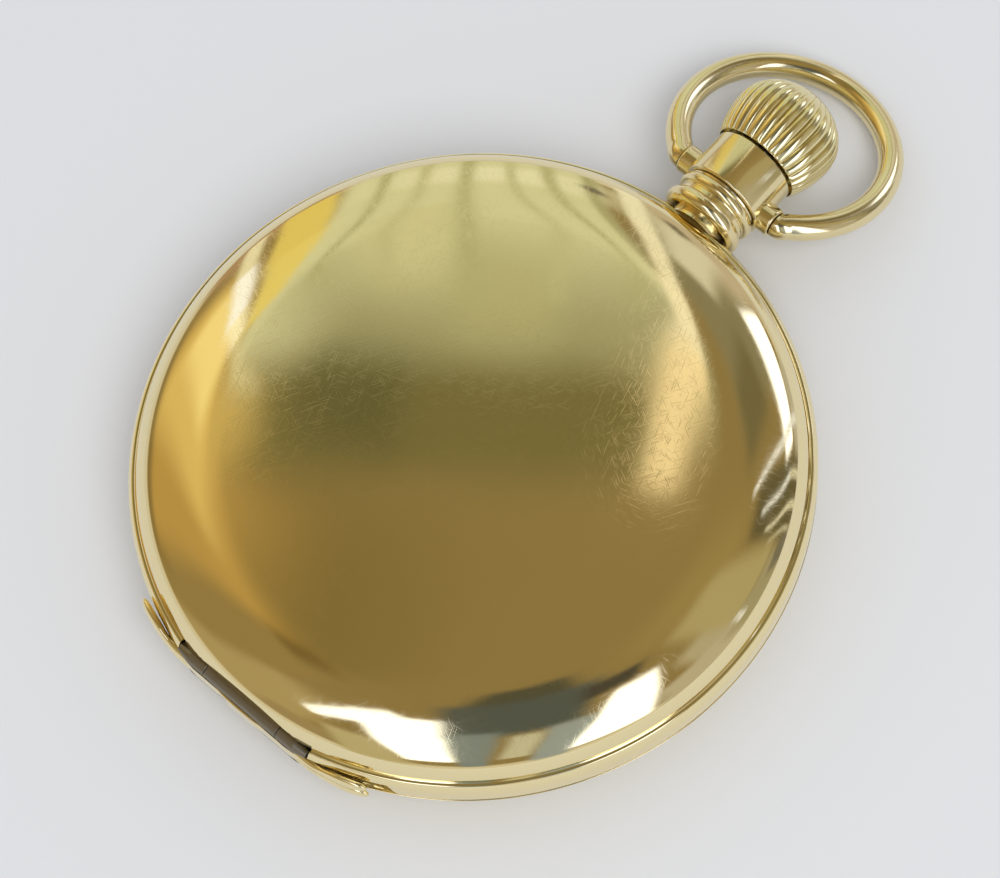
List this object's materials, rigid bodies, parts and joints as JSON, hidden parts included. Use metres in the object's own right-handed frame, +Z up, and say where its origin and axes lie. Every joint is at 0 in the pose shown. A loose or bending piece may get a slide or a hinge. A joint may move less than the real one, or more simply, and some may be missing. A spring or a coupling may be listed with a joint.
{
  "type": "pocket watch",
  "caption": "Gold full hunter pocket watch: hinged front and back covers round a keyless lever movement, fluted crown, bow on a turned neck.",
  "frame": {"origin": "centre of the flat on the back cover, on which the watch rests", "axes": "+Z up out of the front cover, +X out through the crown at 3 o'clock, +Y towards 12 o'clock"},
  "size_m": [0.0688, 0.05, 0.0118],
  "materials": {
    "case_gold": "polished yellow gold, slightly greenish",
    "crown_gold": "polished yellow gold, fluted",
    "inner_gold": "polished yellow gold",
    "steel": "polished steel",
    "blued_steel": "blued steel",
    "gilt_brass": "gilt brass",
    "nickel": "grained nickel",
    "ruby": "polished ruby",
    "enamel": "fired white enamel",
    "black_enamel": "fired black enamel",
    "glass": "clear polished glass"
  },
  "bodies": {
    "case": {"case_band": "case_gold", "pendant": "case_gold", "pendant_sleeve": "steel", "front_hinge_pin": "steel", "back_hinge_pin": "steel", "inner_hinge_pin": "steel", "bezel": "case_gold", "crystal": "glass", "spring_screws": "blued_steel", "case_screws": "blued_steel", "main_plate": "nickel", "barrel_bridge": "nickel", "train_bridge": "nickel", "balance_cock": "nickel", "pallet_cock": "nickel", "bridge_screws": "blued_steel", "jewels": "ruby", "hairspring": "blued_steel", "click_spring": "steel", "dial": "enamel", "dial_marks": "black_enamel"},
    "front_cover": {"front_cover": "case_gold"},
    "back_cover": {"back_cover": "case_gold"},
    "inner_cover": {"inner_cover": "inner_gold"},
    "bow": {"bow": "case_gold"},
    "winding": {"winding_arbor": "steel", "winding_pinion": "steel"},
    "collar": {"thrust_collar": "inner_gold"},
    "crown": {"crown": "crown_gold", "stem": "steel"},
    "sliding_pinion": {"sliding_pinion": "steel"},
    "lock_spring": {"lock_spring": "steel"},
    "lift_spring": {"lift_spring": "steel"},
    "bevel": {"bevel_wheel": "steel", "crown_wheel": "steel"},
    "ratchet": {"barrel_arbor": "steel", "ratchet_wheel": "steel"},
    "fourth": {"fourth_wheel": "gilt_brass", "seconds_hand": "blued_steel"},
    "third": {"third_wheel": "gilt_brass"},
    "centre": {"centre_wheel": "gilt_brass", "cannon_pinion": "steel", "minute_hand": "blued_steel"},
    "barrel": {"barrel": "gilt_brass", "mainspring": "steel"},
    "escape": {"escape_wheel": "gilt_brass"},
    "hour": {"hour_wheel": "gilt_brass", "hour_hand": "blued_steel"},
    "minute_wheel": {"minute_wheel": "gilt_brass"},
    "setting_wheel": {"setting_wheel": "steel"},
    "fork": {"pallet_fork": "steel", "pallet_stones": "ruby"},
    "balance": {"balance_wheel": "gilt_brass", "balance_staff": "steel"},
    "regulator": {"regulator": "steel"},
    "click": {"click": "steel"},
    "setting_lever": {"setting_lever": "steel"}
  },
  "joints": [
    {"name": "front_cover_hinge", "type": "hinge", "parent": "case", "child": "front_cover", "pos_m": [-0.024, 0, 0.00705], "axis": [0, -1, 0], "range_deg": [0, 95]},
    {"name": "back_cover_hinge", "type": "hinge", "parent": "case", "child": "back_cover", "pos_m": [-0.024, 0, 0.00475], "axis": [0, 1, 0], "range_deg": [0, 95]},
    {"name": "inner_cover_hinge", "type": "hinge", "parent": "case", "child": "inner_cover", "pos_m": [-0.02235, 0, 0.00445], "axis": [0, 1, 0], "range_deg": [0, 76]},
    {"name": "bow_hinge", "type": "hinge", "parent": "case", "child": "bow", "pos_m": [0.02895, 0, 0.0059], "axis": [0, -1, 0], "range_deg": [-125, 161]},
    {"name": "crown_turn", "type": "hinge", "parent": "case", "child": "winding", "pos_m": [0, 0, 0.0059], "axis": [1, 0, 0], "continuous": true},
    {"name": "crown_press", "type": "slide", "parent": "winding", "child": "collar", "axis": [-1, 0, 0], "range_m": [0, 0.0006], "stiffness_N_per_m": 1000},
    {"name": "crown_pull", "type": "slide", "parent": "collar", "child": "crown", "axis": [1, 0, 0], "range_m": [0, 0.001]},
    {"name": "sliding_pinion_slide", "type": "slide", "parent": "winding", "child": "sliding_pinion", "axis": [1, 0, 0], "range_m": [-0.001, 0]},
    {"name": "lock_spring_flex", "type": "hinge", "parent": "case", "child": "lock_spring", "pos_m": [0.0139, -0.01845, 0.0059], "axis": [0, 0, 1], "range_deg": [0, 2]},
    {"name": "lift_spring_flex", "type": "hinge", "parent": "case", "child": "lift_spring", "pos_m": [-0.01258, 0.01937, 0.0059], "axis": [0, 0, 1], "range_deg": [-1.2, 0]},
    {"name": "crown_wheel_turn", "type": "hinge", "parent": "case", "child": "bevel", "pos_m": [0.01404, 0, 0.0059], "axis": [0, 0, 1], "continuous": true},
    {"name": "ratchet_turn", "type": "hinge", "parent": "case", "child": "ratchet", "pos_m": [0.00525, 0.0084, 0.0059], "axis": [0, 0, 1], "continuous": true},
    {"name": "seconds_turn", "type": "hinge", "parent": "case", "child": "fourth", "pos_m": [0, -0.0104, 0.0059], "axis": [0, 0, -1], "continuous": true},
    {"name": "third_turn", "type": "hinge", "parent": "case", "child": "third", "pos_m": [0.00363, -0.00569, 0.0059], "axis": [0, 0, -1], "continuous": true},
    {"name": "centre_turn", "type": "hinge", "parent": "case", "child": "centre", "pos_m": [0, 0, 0.0059], "axis": [0, 0, -1], "continuous": true},
    {"name": "barrel_turn", "type": "hinge", "parent": "case", "child": "barrel", "pos_m": [0.00525, 0.0084, 0.0059], "axis": [0, 0, -1], "continuous": true},
    {"name": "escape_turn", "type": "hinge", "parent": "case", "child": "escape", "pos_m": [-0.00528, -0.01054, 0.0059], "axis": [0, 0, -1], "continuous": true},
    {"name": "hour_turn", "type": "hinge", "parent": "case", "child": "hour", "pos_m": [0, 0, 0.0059], "axis": [0, 0, -1], "continuous": true},
    {"name": "minute_wheel_turn", "type": "hinge", "parent": "case", "child": "minute_wheel", "pos_m": [0.0048, 0, 0.0059], "axis": [0, 0, -1], "continuous": true},
    {"name": "setting_wheel_turn", "type": "hinge", "parent": "case", "child": "setting_wheel", "pos_m": [0.0102, 0, 0.0059], "axis": [0, 0, -1], "continuous": true},
    {"name": "fork_swing", "type": "hinge", "parent": "case", "child": "fork", "pos_m": [-0.00842, -0.00684, 0.0059], "axis": [0, 0, 1], "range_deg": [-4.5, 4.5]},
    {"name": "balance_swing", "type": "hinge", "parent": "case", "child": "balance", "pos_m": [-0.01159, -0.00311, 0.0059], "axis": [0, 0, 1], "range_deg": [-150, 150], "stiffness_Nm_per_rad": 0.0000028},
    {"name": "regulator_turn", "type": "hinge", "parent": "case", "child": "regulator", "pos_m": [-0.01159, -0.00311, 0.0059], "axis": [0, 0, 1], "range_deg": [-20, 20]},
    {"name": "click_lift", "type": "hinge", "parent": "case", "child": "click", "pos_m": [-0.00309, 0.01321, 0.0059], "axis": [0, 0, -1], "range_deg": [0, 8], "stiffness_Nm_per_rad": 0.0001},
    {"name": "setting_lever_turn", "type": "hinge", "parent": "case", "child": "setting_lever", "pos_m": [0.01445, -0.0044, 0.0059], "axis": [0, 0, 1], "range_deg": [0, 17]}
  ],
  "couplings": [
    {"joint": "inner_cover_hinge", "follows": "back_cover_hinge", "ratio": 0.8},
    {"joint": "sliding_pinion_slide", "follows": "crown_pull", "ratio": -1},
    {"joint": "setting_lever_turn", "follows": "crown_pull", "rad_per_m": 289.86},
    {"joint": "lock_spring_flex", "follows": "crown_press", "rad_per_m": 54.205},
    {"joint": "lift_spring_flex", "follows": "front_cover_hinge", "ratio": -0.012},
    {"joint": "crown_wheel_turn", "follows": "crown_turn", "ratio": 0.375},
    {"joint": "ratchet_turn", "follows": "crown_turn", "ratio": -0.2},
    {"joint": "third_turn", "follows": "seconds_turn", "ratio": -0.13333},
    {"joint": "centre_turn", "follows": "seconds_turn", "ratio": 0.016667},
    {"joint": "barrel_turn", "follows": "seconds_turn", "ratio": -0.0020833},
    {"joint": "escape_turn", "follows": "seconds_turn", "ratio": -10},
    {"joint": "hour_turn", "follows": "seconds_turn", "ratio": 0.0013889},
    {"joint": "minute_wheel_turn", "follows": "seconds_turn", "ratio": -0.0055556},
    {"joint": "setting_wheel_turn", "follows": "seconds_turn", "ratio": 0.011111}
  ]
}
